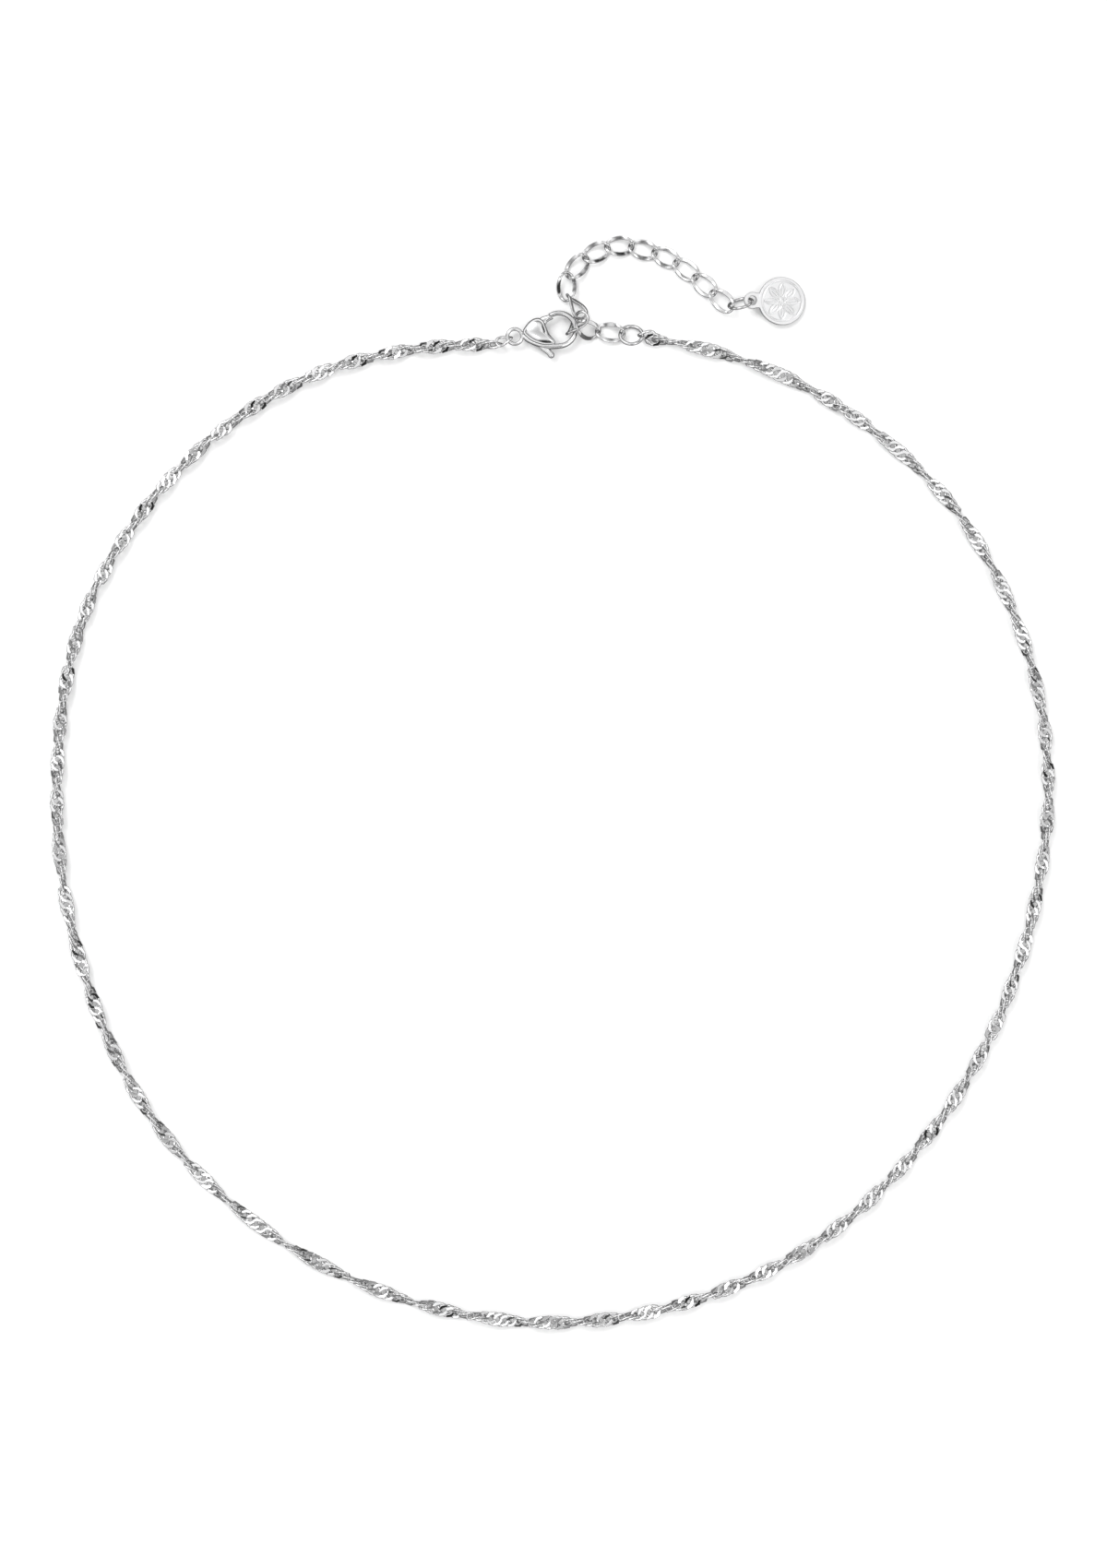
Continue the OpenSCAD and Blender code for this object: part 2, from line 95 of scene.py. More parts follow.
# The neck: distance along from the hook's middle, place across, half width, half height
NECK = [[-4.9, -0.87, 0.24, 0.16], [-4.75, -0.85, 0.38, 0.27], [-4.5, -0.8, 0.48, 0.45],
        [-4.25, -0.74, 0.52, 0.6], [-3.95, -0.7, 0.42, 0.6]]
# Fillings between the cheeks around the pivot: angle, inner radius
BACK_FILL = [[121, 1.06], [233, 1.06]]
TIP_FILL = [[-42, 2.5], [-30, 2.28], [-15, 1.75], [6, 2.3]]

# The lever: pierced boss, the gate, and the arm of the tab
BOSS = [0.39, 1.0]
LEVER_T = 0.6
GATE_R = 2.715
# Rows of the gate: distance from the pivot, angle from the line to the hook's tip, half width,
# half height
GATE = [[0.7, 24, 0.5, 0.28], [1.2, 20, 0.58, 0.29], [1.65, 14.5, 0.56, 0.29], [1.95, 9, 0.5, 0.3],
        [2.15, 5, 0.43, 0.33], [2.38, 1, 0.38, 0.38]]
# Rows of the tab: distance from the pivot, angle, half width, half height
TAB = [[0.7, -72, 0.44, 0.28], [1.1, -70.5, 0.5, 0.29], [1.5, -68.5, 0.62, 0.29], [2.0, -66, 0.58, 0.29],
       [2.35, -64, 0.48, 0.31], [2.7, -62, 0.4, 0.36], [2.95, -61, 0.38, 0.38], [3.24, -60, 0.42, 0.41]]
TAB_END = 0.44

# The chain's route, clockwise from the joining ring to the clasp: half turns of the twist so far,
# clock angle around the middle of the loop, share of its mean radius
ROUTE = [
    [1, 21.6, 1.017], [2, 29.9, 1.023], [4, 38.5, 1.026], [5, 45.7, 1.029], [6, 52, 1.029],
    [8, 64.5, 1.018], [10, 75.9, 1.005], [12, 85.8, 0.991], [14, 96.1, 0.975], [16, 106.6, 0.966],
    [19, 120.5, 0.963], [21, 131.2, 0.965], [24, 146.8, 0.975], [27, 161.4, 0.978], [30, 177, 0.982],
    [32, 189.6, 0.982], [34, 204.1, 0.983], [36, 221.4, 0.986], [38, 234.5, 0.988], [41, 252, 0.983],
    [43, 264.6, 0.989], [45, 275.4, 1], [47, 284.6, 1.017], [49, 293.6, 1.035], [51, 301.8, 1.042],
    [54, 314.3, 1.045], [57, 326.7, 1.04], [59, 334.9, 1.028], [61, 343.8, 1.006],
]
LOOP_R = 65 * MM
HOOK_FROM_LOOP = np.array([0.6, 65.34, 0.0]) * MM
CHAIN_TURNS = [-0.25, 63]
CHAIN_START = np.array([1.37, -0.6, 0.0]) * MM
CHAIN_END = np.array([-1.56, -0.54, 0.0]) * MM
CHAIN_HEIGHT = 0.95 * MM

# One small link of the chain: half length, half width and curl of its middle line, height at
# which its faces are cut flat, distance from link to link
LINK_A = 0.95 * MM
LINK_B = 0.75 * MM
LINK_CURL = -0.18 * MM
LINK_CUT = 0.15 * MM
LINK_PITCH = 0.9 * MM
# Stations in each quarter of a link: angle, half width and half height of the wire, which is
# pressed wider under the cut faces. Then the corners of its section
LINK_STATIONS = np.array([[0, 0.14, 0.14], [8, 0.19, 0.16], [45, 0.25, 0.17], [82, 0.19, 0.16]])
LINK_SECTION = np.array([[1, 0], [0.7, 0.8], [-0.7, 0.8], [-1, 0], [-0.7, -0.8], [0.7, -0.8]])
LINK_LEAN = 7
LEAN_SEED = 11
# How far the small links go on past the two ends of the route, and the steps that measure it
CHAIN_LEAD = 0.55 * MM
ROUTE_STEPS = 8001

# The chain's own first and last link
END_A = 1.06 * MM
END_B = 0.78 * MM
END_WIRE_R = 0.17 * MM
END_RINGS = 48
END_SIDES = 12

# A link of the extender: half length and half width of its middle line, curl, round wire, width
# and thickness of its flat sides, and how boxy their section is
CURB_A = 1.84 * MM
CURB_B = 1.05 * MM
CURB_CURL = 0.43 * MM
CURB_WIRE = 0.32 * MM
CURB_FLAT_W = 0.54 * MM
CURB_FLAT_T = 0.27 * MM
CURB_CRISP = 7
CURB_RINGS = 72
CURB_SIDES = 16

# Rings: radius to the middle of the wire, radius of the wire, and the seam where its ends meet
JOIN_R = 1.46 * MM
JOIN_WIRE_R = 0.22 * MM
TAG_RING_R = 1.57 * MM
TAG_RING_WIRE_R = 0.18 * MM
RING_STEPS = 96
RING_SIDES = 20
SEAM_EDGE = 2.4
SEAM_DEPTH = 0.16

# The end tag: its plate, the engraving and its ear. In millimetres are a petal's start, end and half
# width, the two ends of its vein, the rims, and the half width of a line. The middle share of a line
# is flat
TAG_R = 3.1 * MM
TAG_T = 0.5 * MM
TAG_EDGE = 0.1 * MM
TAG_EDGE_STEPS = 6
TAG_ROWS = 96
TAG_STEPS = 384
TAG_REACH = 3.93 * MM
PETALS = 8
PETAL = [0.52, 2.3, 0.4]
VEIN = [0.95, 1.85]
TAG_RIMS = [0.36, 2.62]
LINE_W = 0.14
LINE_STEEP = 1.6
LINE_DEPTH = 0.07 * MM
EAR_R = 1.08 * MM
EAR_HOLE_R = 0.58 * MM
EAR_NECK = 0.97 * MM
EAR_LAP = 1.4 * MM
EAR_TURN = 0.44
EAR_SINK = 0.02 * MM
EAR_EDGE = 0.07 * MM
EAR_STEPS = 144

# Steps of the clasp's surfaces, how boxy its neck and arms are, and its small roundings in millimetres
BAR_SIDES = 24
EYE_STEPS = 72
NECK_STEPS = 12
NECK_CRISP = 2.4
RAIL_STEPS = 16
LIP_SIDES = 13
EASE_STEPS = 6
HOOK_STEPS = 84
CHEEK_STEPS = 8
CHEEK_BEVEL = 0.04
CHEEK_INNER = 0.5
DOME_FROM = 2
DOME_ROWS = 20
FILL_STEPS = 24
FILL_BACK = 0.02
BOSS_STEPS = 48
ARM_STEPS = 24
ARM_CRISP = 2.3
TAB_END_TO = 88
TAB_END_STEPS = 9
# The last full section of the hook stands this many degrees before its tip. Then two ends alike,
# of hook and gate: shares of the section, steps along it, and distances back from the end's circle
TIP_RUN = 10
TIP_SHRINK = [1, 0.82]
TIP_STEPS = [0.02, 0.04]
TIP_BACK = [0.16, 0.07, 0.0]

# The stage: half width, height, tone and roughness of the floor, and the darker tone painted on it for rays
# from the metal, a painted reflection
FLOOR_HALF = 1.2
FLOOR_Z = -0.06 * MM
FLOOR_TONE = 0.94
FLOOR_ROUGH = 0.9
FLOOR_PAINTED_REFLECTION = 0.16
# The sky that the metal mirrors: its tone over the height of its direction, its strength, and the
# plain tone that the camera sees
SKY = [[0.0, 0.03], [0.12, 0.08], [0.24, 1.2], [0.46, 1.3], [0.56, 0.7], [0.66, 0.07], [0.77, 0.8],
       [0.88, 1.25], [0.95, 1.0], [1.0, 0.68]]
SKY_STRENGTH = 1.0
SKY_SEEN = 0.9
# Panels that the polished metal mirrors: the way to each, its half width in degrees, its tone. Then
# the shares of that width at which a panel is fully there and at which it ends
PANELS = [[(-0.42, 0.5, 0.76), 14, 3.2], [(0.5, -0.3, 0.81), 9, 2.8], [(0.1, -0.68, 0.73), 16, 0.02],
          [(0.72, 0.3, 0.66), 12, 0.02], [(-0.2, -0.35, 0.9), 6, 2.4]]
PANEL_EDGE = [0.75, 1.25]
# Lamps: name, place, size and power
LAMPS = [["key", (-0.3, 0.36, 0.66), (0.5, 0.36), 2.3], ["fill", (0.42, -0.2, 0.56), (0.4, 0.4), 1.3]]
# Metals: clear and dull tone and the scale of their clouds, roughness where smooth and where worn,
# scale and relief of the polish marks
METALS = {
    "chain_wire": [0.98, 0.8, 2600, 0.06, 0.22, 2500, 0.25],
    "chain_diamond_cut": [0.98, 0.92, 900, 0.03, 0.1, 2500, 0.05],
    "polished_clasp": [0.8, 0.7, 260, 0.1, 0.2, 1600, 0.08],
    "pressed_extender": [0.78, 0.6, 320, 0.07, 0.2, 1800, 0.12],
    "polished_ring": [0.76, 0.62, 320, 0.05, 0.16, 1800, 0.08],
    "engraved_tag": [0.92, 0.88, 200, 0.3, 0.4, 1500, 0.1],
}
# How much bluer than grey a metal is, the height of a full mark, the range of a noise that counts
METAL_BLUE = 1.006
MARK_HEIGHT = 0.02 * MM
NOISE_RANGE = [0.3, 0.7]


def unit(v):
    """Vectors along the last axis, each divided by its length."""
    return v / np.linalg.norm(v, axis=-1, keepdims=True)


def turned(angles):
    """Points on the unit circle at angles in degrees."""
    a = np.radians(angles)
    return np.stack([np.cos(a), np.sin(a)], axis=-1)


def shell_faces(rings, sides, closed):
    """Four-cornered faces between neighbouring rings of so many sides, on a path that may close."""
    i = np.arange(rings if closed else rings - 1)
    i, k = np.meshgrid(i, np.arange(sides), indexing="ij")
    i, k = i.ravel(), k.ravel()
    j, m = (i + 1) % rings, (k + 1) % sides
    return np.stack([i * sides + k, i * sides + m, j * sides + m, j * sides + k], axis=1)


def cap_faces(rings, sides):
    """The first and last ring of an open sweep, as one face each."""
    first = np.arange(sides)[::-1]
    return [first.tolist(), ((rings - 1) * sides + first[::-1]).tolist()]


class Shape:
    """Points and faces of several closed shells that make one piece."""

    def __init__(self):
        self.points, self.faces, self.kinds, self.flat = [], [], [], []
        self.count = 0

    def add(self, points, faces, caps=(), kind=0, flat=False):
        """Adds closed shells: points, a whole array of faces, and caps as lists of corners.

        The signed volume under the faces tells which way they look, and they are turned outwards."""
        points = np.asarray(points).reshape(-1, 3)
        fans = [[cap[0], cap[i], cap[i + 1]] for cap in caps for i in range(1, len(cap) - 1)]
        halves = [faces[:, [0, i, i + 1]] for i in range(1, faces.shape[1] - 1)]
        a, b, c = np.moveaxis(points[np.concatenate(halves + ([fans] if fans else []))], 1, 0)
        if np.einsum("ij,ij->i", a - points[0], np.cross(b - points[0], c - points[0])).sum() < 0:
            faces = faces[:, ::-1]
            caps = [cap[::-1] for cap in caps]
        self.faces += (faces + self.count).tolist() + [[v + self.count for v in cap] for cap in caps]
        self.kinds.append(np.append(np.broadcast_to(kind, len(faces)), np.zeros(len(caps))))
        self.flat.append(np.append(np.broadcast_to(flat, len(faces)), np.zeros(len(caps))))
        self.points.append(points)
        self.count += len(points)

    def piece(self, name, body, materials, replaced=(), sharp=None):
        """Makes the mesh object, with its material, its body and the nodes that it stands for."""
        mesh = bpy.data.meshes.new(name)
        mesh.from_pydata(np.concatenate(self.points), [], self.faces)
        mesh.polygons.foreach_set("material_index", np.concatenate(self.kinds).astype(np.int32))
        mesh.polygons.foreach_set("use_smooth", np.concatenate(self.flat) == 0)
        if sharp is not None:
            mesh.set_sharp_from_angle(angle=math.radians(sharp))
        for material in materials:
            mesh.materials.append(material)
        mesh.update()
        made = bpy.data.objects.new(name, mesh)
        bpy.context.scene.collection.objects.link(made)
        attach(made, body)
        if replaced:
            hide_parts(*replaced)
        return made


def solid_axes(node):
    """Middle and main axes of a CAD solid, the longest axis first.

    Each triangle makes a tetrahedron with one common point. Their signed volumes, weighted with
    their first and second moments and summed, give the solid's middle and its spread."""
    mesh = frame["nodes"][node].data
    points = np.empty(len(mesh.vertices) * 3)
    mesh.vertices.foreach_get("co", points)
    points = points.reshape(-1, 3)
    mesh.calc_loop_triangles()
    corners = np.empty(len(mesh.loop_triangles) * 3, dtype=np.int32)
    mesh.loop_triangles.foreach_get("vertices", corners)
    start = points.mean(axis=0)
    a, b, c = np.moveaxis((points - start)[corners.reshape(-1, 3)], 1, 0)
    volume = np.einsum("ij,ij->i", a, np.cross(b, c)) / 6
    total = volume.sum()
    middle = (volume[:, None] * (a + b + c)).sum(axis=0) / 4 / total
    second = sum(np.einsum("i,ij,ik->jk", volume, p, p) for p in (a, b, c, a + b + c)) / 20 / total
    spread, axes = np.linalg.eigh(second - np.outer(middle, middle))
    axes = axes[:, ::-1].T
    axes[2] = np.cross(axes[0], axes[1])
    return start + middle, axes


def smooth_rows(rows, u):
    """Columns of a table at places u of its first column, on a cubic through its rows.

    A row's slope is the one between its two neighbours, and the cubic of each span keeps the
    values and the slopes at its two ends."""
    rows = np.asarray(rows, dtype=float)
    at, values = rows[:, 0], rows[:, 1:]
    before = np.maximum(np.arange(len(at)) - 1, 0)
    after = np.minimum(np.arange(len(at)) + 1, len(at) - 1)
    slopes = (values[after] - values[before]) / (at[after] - at[before])[:, None]
    i = np.clip(np.searchsorted(at, u, side="left") - 1, 0, len(at) - 2)
    width = (at[i + 1] - at[i])[:, None]
    t = (u[:, None] - at[i][:, None]) / width
    return (values[i] * (1 + 2 * t) * (1 - t) ** 2 + slopes[i] * width * t * (1 - t) ** 2
            + values[i + 1] * t * t * (3 - 2 * t) + slopes[i + 1] * width * t * t * (t - 1))


def closed_curve(rows, steps):
    """A closed smooth curve through the rows of an outline, with so many points for each row.

    Between two rows it is the Catmull-Rom cubic of those two and their neighbours."""
    a, b, c, d = (np.roll(np.asarray(rows, dtype=float), s, axis=0)[:, None] for s in (1, 0, -1, -2))
    t = (np.arange(steps) / steps)[None, :, None]
    curve = 0.5 * (2 * b + (c - a) * t + (2 * a - 5 * b + 4 * c - d) * t ** 2
                   + (3 * b - a - 3 * c + d) * t ** 3)
    return curve.reshape(-1, np.asarray(rows).shape[1])


def oval_section(sides, power, first=0.0):
    """Points of a superellipse of half sizes 1: a circle at power 2, nearly a box at 6 or more.

    The power is one number, or a column with a row for each section. The first point stands at a
    share of one step."""
    a = (np.arange(sides) + first) * 2 * math.pi / sides
    c, s = np.cos(a), np.sin(a)
    x = np.sign(c) * np.abs(c) ** (2 / power)
    y = np.sign(s) * np.abs(s) ** (2 / power)
    return np.stack([x, y], axis=-1)


# The chain
def chain_route(n):
    """The chain's route after n half turns, and the way it goes there.

    The route's table holds clock angle and share of the loop's radius. Its first and last rows
    come from the two end links, which the CAD holds."""
    loop_at = hook_at - HOOK_FROM_LOOP

    def row(turns, place):
        x, y = (place - loop_at)[:2]
        return [turns, math.degrees(math.atan2(x, y)) % 360, math.hypot(x, y) / LOOP_R]

    first = row(CHAIN_TURNS[0], solid_axes("chain_end_link_1")[0] + CHAIN_START)
    last = row(CHAIN_TURNS[1], solid_axes("chain_end_link_2")[0] + CHAIN_END)
    clock, share = smooth_rows([first] + ROUTE + [last], n).T
    a = np.radians(clock)
    flat = np.stack([np.sin(a), np.cos(a), 0 * a], axis=-1) * (LOOP_R * share)[:, None]
    places = loop_at * [1, 1, 0] + flat + UP * CHAIN_HEIGHT
    return places, unit(np.gradient(places, axis=0))


def curb_rings(t, a, b, curl, half_w, half_h, sections):
    """Rings of points round the middle line of a curb link.

    The line is an oval of half length a and half width b whose quarters curl up and down in turn:
    (a cos t, b sin t, curl sin 2t). A section's first axis lies in the link's plane, square to the
    line, and the second is square to both."""
    line = np.stack([a * np.cos(t), b * np.sin(t), curl * np.sin(2 * t)], axis=-1)
    go = unit(np.stack([-a * np.sin(t), b * np.cos(t), 2 * curl * np.cos(2 * t)], axis=-1))
    out = unit(np.cross(go, UP))
    up = np.cross(out, go)
    return (line[:, None] + out[:, None] * (half_w[:, None] * sections[..., 0])[..., None]
            + up[:, None] * (half_h[:, None] * sections[..., 1])[..., None])


def chain_poses():
    """Middles and axes of the chain's small links: equal steps along the route, and half a turn
    about it from waist to waist, with a small seeded lean for each link."""
    n = np.linspace(*CHAIN_TURNS, ROUTE_STEPS)
    places, ways = chain_route(n)
    gone = np.append(0, np.cumsum(np.linalg.norm(np.diff(places, axis=0), axis=1)))
    length = gone[-1] + 2 * CHAIN_LEAD
    at = np.linspace(-CHAIN_LEAD, gone[-1] + CHAIN_LEAD, round(length / LINK_PITCH) + 1)
    inside = np.clip(at, 0, gone[-1])
    way = unit(np.stack([np.interp(inside, gone, ways[:, i]) for i in range(3)], axis=-1))
    middle = np.stack([np.interp(inside, gone, places[:, i]) for i in range(3)], axis=-1)
    middle = middle + way * (at - inside)[:, None]
    rate = (CHAIN_TURNS[1] - CHAIN_TURNS[0]) / gone[-1]
    turns = np.interp(inside, gone, n) + (at - inside) * rate
    rng = np.random.default_rng(LEAN_SEED)
    turn = np.radians(90 + 180 * turns + rng.normal(0, LINK_LEAN, len(at)))[:, None]
    left = np.cross(UP, way)
    across = left * np.cos(turn) + UP * np.sin(turn)
    lean = np.radians(rng.normal(0, LINK_LEAN, len(at)))[:, None]
    thick = np.cross(way, across)
    along = way * np.cos(lean) + thick * np.sin(lean)
    return middle, np.stack([along, across, np.cross(along, across)], axis=1)


def chain():
    """The twisted chain: one small curb link, repeated along the route, its faces cut flat."""
    angle, half_w, half_h = np.tile(LINK_STATIONS, (4, 1)).T
    t = np.radians(angle + 90 * (np.arange(len(angle)) // len(LINK_STATIONS)))
    sections = np.broadcast_to(LINK_SECTION, (len(t),) + LINK_SECTION.shape)
    link = curb_rings(t, LINK_A, LINK_B, LINK_CURL, half_w * MM, half_h * MM, sections)
    link[..., 2] = np.clip(link[..., 2], -LINK_CUT, LINK_CUT)
    faces = shell_faces(len(t), len(LINK_SECTION), True)
    cut = (np.abs(link.reshape(-1, 3)[faces, 2]) > LINK_CUT - 1e-9).all(axis=1)
    middle, axes = chain_poses()
    points = middle[:, None] + np.einsum("pi,nij->npj", link.reshape(-1, 3), axes)
    count = len(middle)
    faces = (faces + (np.arange(count) * len(link.reshape(-1, 3)))[:, None, None]).reshape(-1, 4)
    shape = Shape()
    shape.add(points, faces, kind=np.tile(cut, count), flat=np.tile(cut, count))
    shape.piece("chain_links", "necklace", [wire_steel, cut_steel], ["singapore_chain"])


def end_link(node):
    """The chain's own first or last link: a round wire on the same curled oval as its links."""
    middle, axes = solid_axes(node)
    t = np.arange(END_RINGS) * 2 * math.pi / END_RINGS
    radius = np.full(len(t), END_WIRE_R)
    sections = np.broadcast_to(oval_section(END_SIDES, 2), (len(t), END_SIDES, 2))
    rings = curb_rings(t, END_A, END_B, LINK_CURL, radius, radius, sections)
    shape = Shape()
    shape.add(middle + rings.reshape(-1, 3) @ axes, shell_faces(END_RINGS, END_SIDES, True))
    shape.piece(node + "_wire", "necklace", [wire_steel], [node])


# The extender
def extender_link(node):
    """A curb link whose wire goes from round at its two ends to flat and crisp on its long sides."""
    middle, axes = solid_axes(node)
    t = np.arange(CURB_RINGS) * 2 * math.pi / CURB_RINGS
    side = np.sin(t) ** 2
    half_w = (CURB_WIRE + (CURB_FLAT_W - CURB_WIRE) * side ** 1.5) / 2
    half_h = (CURB_WIRE + (CURB_FLAT_T - CURB_WIRE) * side) / 2
    power = (2 + (CURB_CRISP - 2) * side)[:, None]
    rings = curb_rings(t, CURB_A, CURB_B, CURB_CURL, half_w, half_h, oval_section(CURB_SIDES, power, 0.5))
    shape = Shape()
    shape.add(middle + rings.reshape(-1, 3) @ axes, shell_faces(CURB_RINGS, CURB_SIDES, True))
    shape.piece(node + "_curb", "necklace", [extender_steel], [node], sharp=48)


# The rings and the tag
def wire_ring(node, radius, wire_r, seam):
    """A torus: a round wire on a circle, pinched by a bell curve where its two ends meet."""
    middle, axes = solid_axes(node)
    seam_angles = [360 - SEAM_EDGE / 2, 360, SEAM_EDGE / 2]
    angle = np.append(np.linspace(SEAM_EDGE, 360 - SEAM_EDGE, RING_STEPS), seam_angles)
    way = turned(angle + seam) @ axes[:2]
    pinch = 1 - SEAM_DEPTH * np.exp(-((angle + 180) % 360 - 180) ** 2 / (SEAM_EDGE / 3) ** 2)
    section = oval_section(RING_SIDES, 2)
    far = radius + wire_r * pinch[:, None] * section[:, 0]
    high = wire_r * pinch[:, None] * section[:, 1]
    points = far[..., None] * way[:, None] + high[..., None] * axes[2]
    shape = Shape()
    shape.add(middle + points, shell_faces(len(angle), RING_SIDES, True))
    shape.piece(node + "_wire", "necklace", [ring_steel], [node])


def petal_lines(x, y):
    """Depth, from 0 to 1, of the tag's engraving at x and y from its middle.

    Folded into one of eight equal slices, a petal is the lens between a circle and its mirror
    image. The depth falls off with the distance from its edge, its vein and the two rims."""
    r, a = np.hypot(x, y), np.arctan2(y, x)
    slice_half = math.pi / PETALS
    a = np.abs((a + slice_half) % (2 * slice_half) - slice_half)
    along, aside = r * np.cos(a), r * np.sin(a)
    start, end, half = PETAL
    middle, reach = (start + end) / 2, (end - start) / 2
    bow = (reach ** 2 + half ** 2) / (2 * half)
    edge = np.abs(np.hypot(along - middle, aside + bow - half) - bow)
    edge = np.where((along > start - LINE_W) & (along < end + LINE_W), edge, 1)
    vein = np.where((along > VEIN[0]) & (along < VEIN[1]), aside, 1)
    rims = np.min([np.abs(r - rim) for rim in TAG_RIMS], axis=0)
    near = np.minimum(np.minimum(edge, vein), rims)
    return np.clip((1 - near / LINE_W) * LINE_STEEP, 0, 1)


def tag():
    """The end tag: a plate over a polar grid with an engraved rosette, and its pierced ear.

    The plate's upper face is sunk by the engraving's depth, and its edge is a quarter circle. The
    ear is a ring that a bridge of straight sides joins to the plate."""
    middle, axes = solid_axes("tag")
    ring_at = solid_axes("tag_ring")[0]
    long = axes[0] * np.sign((middle - ring_at) @ axes[0])
    up = axes[2] * np.sign(axes[2][2])
    side = np.cross(up, long)
    mesh = frame["nodes"]["tag"].data
    points = np.empty(len(mesh.vertices) * 3)
    mesh.vertices.foreach_get("co", points)
    far = ((points.reshape(-1, 3) - middle) @ long).max()
    disc_at = middle + long * (far - TAG_R)

    def placed(at, x, y, z):
        return at + x[..., None] * long + y[..., None] * side + z[..., None] * up

    angle = np.arange(TAG_STEPS) * 2 * math.pi / TAG_STEPS
    grid = np.linspace(0, 1, TAG_ROWS)[1:, None] * (TAG_R - TAG_EDGE)
    x, y = grid * np.cos(angle), grid * np.sin(angle)
    face = TAG_T / 2 - LINE_DEPTH * petal_lines(x / MM, y / MM)
    turn = np.linspace(90, 0, TAG_EDGE_STEPS)[1:]
    edge_r = TAG_R - TAG_EDGE * (1 - np.cos(np.radians(turn)))
    edge_z = TAG_T / 2 - TAG_EDGE * (1 - np.sin(np.radians(turn)))
    low = np.append(edge_z, -edge_z[::-1])
    rim = np.append(edge_r, edge_r[::-1])
    x = np.concatenate([x, rim[:, None] * np.cos(angle), grid[[-1, 0]] * np.cos(angle)])
    y = np.concatenate([y, rim[:, None] * np.sin(angle), grid[[-1, 0]] * np.sin(angle)])
    z = np.concatenate([face, np.broadcast_to(low[:, None], (len(low), TAG_STEPS)),
                        np.full((2, TAG_STEPS), -TAG_T / 2)])
    shape = Shape()
    shape.add(placed(disc_at, x, y, z), shell_faces(len(x), TAG_STEPS, False), cap_faces(len(x), TAG_STEPS))

    hole_at = disc_at - long * TAG_REACH
    angle = np.arange(EAR_STEPS) * 2 * math.pi / EAR_STEPS
    c, s = np.cos(angle), np.maximum(np.abs(np.sin(angle)), 1e-6)
    bridge = np.minimum(EAR_LAP / np.maximum(c, 1e-6), EAR_NECK / s)
    outer = np.where(c > EAR_TURN, np.maximum(bridge, EAR_R), EAR_R)
    half, e = TAG_T / 2 - EAR_SINK, EAR_EDGE
    section = np.array([[0, e, -half], [0, 0, e - half], [0, 0, half - e], [0, e, half],
                        [1, -e, half], [1, 0, half - e], [1, 0, e - half], [1, -e, -half]])
    radius = EAR_HOLE_R + (outer - EAR_HOLE_R)[:, None] * section[:, 0] + section[:, 1]
    x, y = radius * np.cos(angle)[:, None], radius * np.sin(angle)[:, None]
    ear = placed(hole_at, x, y, section[:, 2] + 0 * radius)
    shape.add(ear, shell_faces(EAR_STEPS, len(section), True))
    shape.piece("engraved_tag", "necklace", [tag_steel], ["tag"], sharp=40)


# The clasp
def clasp_points(x, y, z):
    """Points in metres from millimetres around the middle of the clasp's hook."""
    return hook_at + np.stack(np.broadcast_arrays(x, y, z), axis=-1) * MM


def stadium(half_w, half_h):
    """Sections of a bar with straight sides and half-round top and bottom, one row for each bar."""
    a = (np.arange(BAR_SIDES) + 0.5) * 2 * math.pi / BAR_SIDES
    half_w, half_h = np.asarray(half_w)[..., None], np.asarray(half_h)[..., None]
    return half_w * np.cos(a), half_w * np.sin(a) + np.sign(np.sin(a)) * (half_h - half_w)


def bar_line(s):
    """Middle line of rail and hook at angles s, and its outward way: two arcs that share a tangent."""
    out = turned(s)
    rail_at = (HOOK_R - RAIL_R) * turned(HOOK_FROM)
    return np.where(s[:, None] < HOOK_FROM, rail_at + RAIL_R * out, HOOK_R * out), out


def bar_height(s):
    """Half height of the bar at angles s, easing from the rail's to the hook's."""
    t = np.clip((s - BAR_EASE[0]) / (BAR_EASE[1] - BAR_EASE[0]), 0, 1)
    return (RAIL_H + (HOOK_H - RAIL_H) * t * t * (3 - 2 * t)) / 2


def bar_rings(s, wide, high):
    """Rings of a bar: offsets across and up from its middle line at angles s."""
    line, out = bar_line(s)
    flat = line[:, None] + out[:, None] * wide[..., None]
    return np.concatenate([flat, (high + 0 * wide)[..., None]], axis=-1)


def add_bar(shape, rings):
    """One closed bar from its rings, in millimetres around the hook's middle."""
    count, sides = rings.shape[:2]
    shape.add(clasp_points(*np.moveaxis(rings, -1, 0)), shell_faces(count, sides, False),
              cap_faces(count, sides))


def slid_ends(rings, way, radius, side):
    """The last three rings, slid along a way on to circles around the pivot, before or behind it."""
    ends = rings[-3:, :, :2] - PIVOT[:2]
    along = (ends * way).sum(axis=-1)
    rest = np.sqrt(along ** 2 - (ends ** 2).sum(axis=-1) + radius[:, None] ** 2)
    rings[-3:, :, :2] += (side * rest - along)[..., None] * way
    return rings


